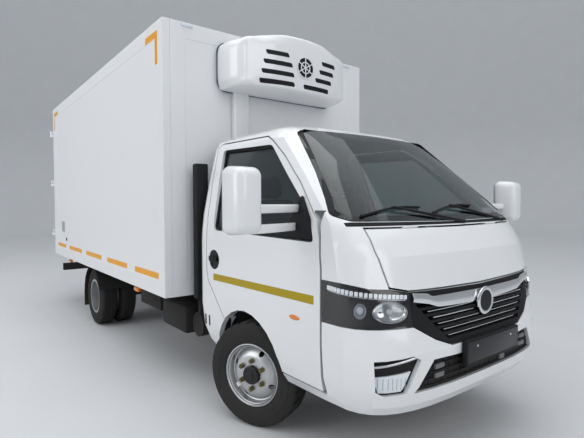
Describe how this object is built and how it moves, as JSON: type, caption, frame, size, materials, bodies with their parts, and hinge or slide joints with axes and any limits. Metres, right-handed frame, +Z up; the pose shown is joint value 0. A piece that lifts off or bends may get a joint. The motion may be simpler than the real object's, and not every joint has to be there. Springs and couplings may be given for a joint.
{
  "type": "refrigerated truck",
  "caption": "Light truck with a short-nosed cab, insulated box body, front-mounted cooling unit, steering front wheels and twin rear wheels.",
  "frame": {"origin": "on the ground under the middle of the overall length and width", "axes": "+Z up, the nose points along -Y, the driver's left is +X"},
  "size_m": [2.63, 6.1653, 2.754],
  "materials": {
    "white_paint": "gloss white",
    "box_white": "satin white sandwich panel",
    "black_plastic": "matte",
    "chassis_black": "satin black",
    "rubber": "matte",
    "wheel_silver": "silver",
    "cast_metal": "as cast",
    "glass_dark": "tinted",
    "lamp_lens": "clear lens over a dark housing",
    "grey_fabric": "woven"
  },
  "bodies": {
    "vehicle": {"chassis_frame": "chassis_black", "front_axle": "chassis_black", "rear_axle": "chassis_black", "engine": "cast_metal", "fuel_tank": "black_plastic", "battery_box": "black_plastic", "air_intake": "black_plastic", "exhaust": "cast_metal", "cab_shell": "white_paint", "cab_floor": "black_plastic", "dashboard": "black_plastic", "seats": "grey_fabric", "windscreen": "glass_dark", "wipers": "black_plastic", "bumper": "white_paint", "bumper_insert": "black_plastic", "grille": "black_plastic", "headlight_left": "lamp_lens", "headlight_right": "lamp_lens", "plate_frame": "black_plastic", "wheel_housing_left": "black_plastic", "wheel_housing_right": "black_plastic", "box_floor": "box_white", "box_wall_left": "box_white", "box_wall_right": "box_white", "box_wall_front": "box_white", "box_roof": "box_white", "box_rear_frame": "box_white", "cooling_unit": "white_paint", "cooling_duct": "white_paint", "rear_mudguards": "black_plastic", "rear_bar": "chassis_black"},
    "bonnet": {"bonnet": "white_paint"},
    "cab_door_left": {"door_left": "white_paint", "door_glass_left": "glass_dark", "mirror_left": "white_paint"},
    "cab_door_right": {"door_right": "white_paint", "door_glass_right": "glass_dark", "mirror_right": "white_paint"},
    "rear_door_left": {"box_door_left": "box_white"},
    "rear_door_right": {"box_door_right": "box_white"},
    "steering_left": {"knuckle_left": "cast_metal"},
    "steering_right": {"knuckle_right": "cast_metal"},
    "wheel_front_left": {"tyre_front_left": "rubber", "rim_front_left": "wheel_silver"},
    "wheel_front_right": {"tyre_front_right": "rubber", "rim_front_right": "wheel_silver"},
    "wheel_rear_left": {"tyre_rear_left_outer": "rubber", "tyre_rear_left_inner": "rubber", "rim_rear_left": "wheel_silver"},
    "wheel_rear_right": {"tyre_rear_right_outer": "rubber", "tyre_rear_right_inner": "rubber", "rim_rear_right": "wheel_silver"}
  },
  "joints": [
    {"name": "steer_left", "type": "hinge", "parent": "vehicle", "child": "steering_left", "pos_m": [0.74, -1.9475, 0.322], "axis": [0, 0, 1], "range_deg": [-57, 13]},
    {"name": "steer_right", "type": "hinge", "parent": "vehicle", "child": "steering_right", "pos_m": [-0.74, -1.9475, 0.322], "axis": [0, 0, 1], "range_deg": [-57, 13]},
    {"name": "spin_front_left", "type": "hinge", "parent": "steering_left", "child": "wheel_front_left", "pos_m": [0.78636, -1.92877, 0.322], "axis": [0.9272, 0.3746, 0], "continuous": true},
    {"name": "spin_front_right", "type": "hinge", "parent": "steering_right", "child": "wheel_front_right", "pos_m": [-0.78636, -1.96623, 0.322], "axis": [0.9272, 0.3746, 0], "continuous": true},
    {"name": "spin_rear_left", "type": "hinge", "parent": "vehicle", "child": "wheel_rear_left", "pos_m": [0.779, 1.1825, 0.322], "axis": [1, 0, 0], "continuous": true},
    {"name": "spin_rear_right", "type": "hinge", "parent": "vehicle", "child": "wheel_rear_right", "pos_m": [-0.779, 1.1825, 0.322], "axis": [1, 0, 0], "continuous": true},
    {"name": "cab_door_left_hinge", "type": "hinge", "parent": "vehicle", "child": "cab_door_left", "pos_m": [0.8, -2.58719, 0.5], "axis": [0, 0, -1], "range_deg": [0, 65]},
    {"name": "cab_door_right_hinge", "type": "hinge", "parent": "vehicle", "child": "cab_door_right", "pos_m": [-0.8, -2.58719, 0.5], "axis": [0, 0, 1], "range_deg": [0, 65]},
    {"name": "bonnet_hinge", "type": "hinge", "parent": "vehicle", "child": "bonnet", "pos_m": [0, -2.827, 1.2515], "axis": [-1, 0, 0], "range_deg": [0, 60]},
    {"name": "rear_door_left_hinge", "type": "hinge", "parent": "vehicle", "child": "rear_door_left", "pos_m": [1.062, 3.0675, 1.7], "axis": [0, 0, -1], "range_deg": [0, 265]},
    {"name": "rear_door_right_hinge", "type": "hinge", "parent": "vehicle", "child": "rear_door_right", "pos_m": [-1.062, 3.0675, 1.7], "axis": [0, 0, 1], "range_deg": [0, 265]}
  ],
  "couplings": [
    {"joint": "steer_right", "follows": "steer_left", "ratio": 1}
  ]
}
